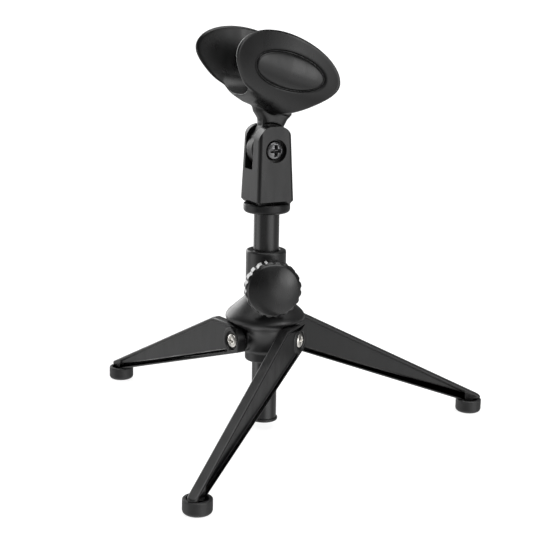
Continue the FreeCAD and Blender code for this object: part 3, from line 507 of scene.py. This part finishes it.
def make_hub():
    step, low, high = 0.5, (-29.0, -29.0, 43.0), (29.5, 29.5, 119.0)
    x, y, z = grid(low, high, step)
    radius = np.sqrt(x * x + y * y)
    shape = hub_turned(radius, z)
    knob, side = flat_axes(KNOB_AZIMUTH)
    out = x * knob[0] + y * knob[1]
    stud = np.sqrt((x * side[0] + y * side[1]) ** 2 + (z - KNOB_LEVEL) ** 2)
    boss = common(stud - BOSS_RADIUS, common(out - BOSS_FACE, -out, 0.5), 0.6)
    shape = join(shape, boss, 2.0)
    rooms = []
    for azimuth in LEG_AZIMUTH.values():
        forward, outward = flat_axes(azimuth)
        along = x * forward[0] + y * forward[1]
        off = x * outward[0] + y * outward[1]
        pivot = np.sqrt((along - PIVOT_ALONG) ** 2 + (z - PIVOT_LEVEL) ** 2)
        lug = common(pivot - LUG_RADIUS, common(off - LUG_FACE, -off, 0.5), 0.5)
        shape = join(shape, lug, 2.5)
        below = np.maximum(-POCKET_BACK - along, z - PIVOT_LEVEL)
        ahead = np.maximum(-along, z - POCKET_HIGH)
        pocket = join(ahead, join(below, pivot - POCKET_ROUND, 1.0), 1.0)
        rooms.append(np.maximum(pocket, LUG_FACE - off))
        rooms.append(np.maximum(pivot - LUG_BORE, LUG_BORE_FLOOR - off))
    for room in rooms:
        shape = cut(shape, room, 0.9)
    shape = cut(shape, np.maximum(stud - STUD_BORE, -out), 0.4)
    shape = cut(shape, radius - TUBE_BORE, 0.6)
    piece = skin("hub_moulding", shape, low, step, Matrix.Identity(4))
    stand_for(piece, "hub", "base", "hub_black")


# ---------------------------------------------------------------- knob

def make_knob():
    step, low, high = 0.4, (-19.0, -19.0, 19.5), (19.5, 19.5, 36.0)
    x, y, out = grid(low, high, step)
    radius, angle = np.sqrt(x * x + y * y), np.arctan2(y, x)
    pitch = 2.0 * math.pi / NOTCHES
    turned = (angle + pitch / 2) % pitch - pitch / 2
    wall = common(radius - KNOB_RADIUS, common(out - KNOB_FRONT, KNOB_BACK - out, 0.6), 1.4)
    notch = np.sqrt((radius * np.cos(turned) - NOTCH_OUT) ** 2 + (radius * np.sin(turned)) ** 2)
    wall = cut(wall, notch - NOTCH_RADIUS, 0.7)
    dome = np.sqrt(radius ** 2 + (out - DOME_CENTRE) ** 2) - DOME_ROUND
    dome = common(common(dome, radius - DOME_RADIUS, 1.2), DOME_BACK - out, 0.3)
    shape = join(wall, dome, 0.4)
    groove = np.sqrt((radius - KNOB_GROOVE_OUT) ** 2 + (out - KNOB_GROOVE_AT) ** 2)
    shape = cut(shape, groove - KNOB_GROOVE_RADIUS, 0.4)
    shape = cut(shape, np.maximum(radius - KNOB_BORE, out - KNOB_BORE_END), 0.4)
    place = frame_at(KNOB_AZIMUTH, (0, 0, KNOB_LEVEL), lying=True)
    stand_for(skin("knob_moulding", shape, low, step, place), "knob", "clamp_knob", "knob_black")


# ---------------------------------------------------------------- screws

def make_screw(node, body, slot, place, shank, start, seat, head, height, arm):
    """Pan-head screw with a cross recess whose arms narrow to a point at the bottom."""
    step = 0.2
    low = (-head - 0.8, -head - 0.8, start - 0.8)
    high = (head + 1.0, head + 1.0, seat + height + 1.0)
    x, y, z = grid(low, high, step)
    radius = np.sqrt(x * x + y * y)
    rod = common(radius - shank, common(z - seat - 0.5, start - z, 0.2), 0.3)
    crown = (head ** 2 + (height * 0.6) ** 2) / (1.2 * height)
    ball = np.sqrt(radius ** 2 + (z - seat - height + crown) ** 2) - crown
    cap = common(common(radius - head, seat - z, 0.3), ball, 1.2)
    depth = seat + height - z
    length, width = arm - 0.45 * depth, 0.30 * arm * (1.0 - depth / height)
    bars = [common(np.abs(a) - length, np.abs(b) - width, 0.2) for a, b in ((x, y), (y, x))]
    shape = cut(join(rod, cap, 0.3), join(*bars, 0.5), 0.25)
    stand_for(skin(node + "_turned", shape, low, step, place, smooth=1), node, body, slot)


def make_screws():
    for name, azimuth in LEG_AZIMUTH.items():
        forward, _ = flat_axes(azimuth)
        origin = (PIVOT_ALONG * forward[0], PIVOT_ALONG * forward[1], PIVOT_LEVEL)
        place = frame_at(azimuth + 90, origin, lying=True)
        make_screw(f"{name}_leg_screw", "base", "screw_nickel", place, **LEG_SCREW)
    place = frame_at(BODY_AZIMUTH - 90, (0, 0, TILT_LEVEL), lying=True)
    make_screw("tilt_screw", "swivel", "screw_black", place, **TILT_SCREW)


# ---------------------------------------------------------------- CAD nodes that stay

def soften(item, width, clamp):
    """Rounded edges and smooth shading on a CAD node, by modifiers only."""
    weld = item.modifiers.new("weld", "WELD")
    weld.merge_threshold = 0.002 * MM
    flat = item.modifiers.new("flat", "DECIMATE")
    flat.decimate_type, flat.angle_limit = "DISSOLVE", math.radians(0.4)
    bevel = item.modifiers.new("bevel", "BEVEL")
    bevel.width, bevel.segments, bevel.use_clamp_overlap = width * MM, 3, clamp
    bevel.limit_method, bevel.angle_limit = "ANGLE", math.radians(30.0)
    normal = item.modifiers.new("normal", "WEIGHTED_NORMAL")
    normal.keep_sharp = False
    for polygon in item.data.polygons:
        polygon.use_smooth = True


def keep_nodes():
    """Each CAD node gets its slot's material; the legs' edges are rounder than the rest."""
    slots = {row["node"]: row["material_slot"] for row in frame["record"]["subparts"]}
    for name, item in frame["nodes"].items():
        item.data.materials.clear()
        item.data.materials.append(MATERIALS[slots[name]])
        leg = slots[name] == "leg_black"
        soften(item, LEG_EDGE if leg else EDGE, clamp=not leg)


bpy.context.scene.view_settings.view_transform = "Standard"
add_camera()
add_world()
add_floor()
MATERIALS = make_materials()
keep_nodes()
make_clip()
make_hub()
make_knob()
make_screws()
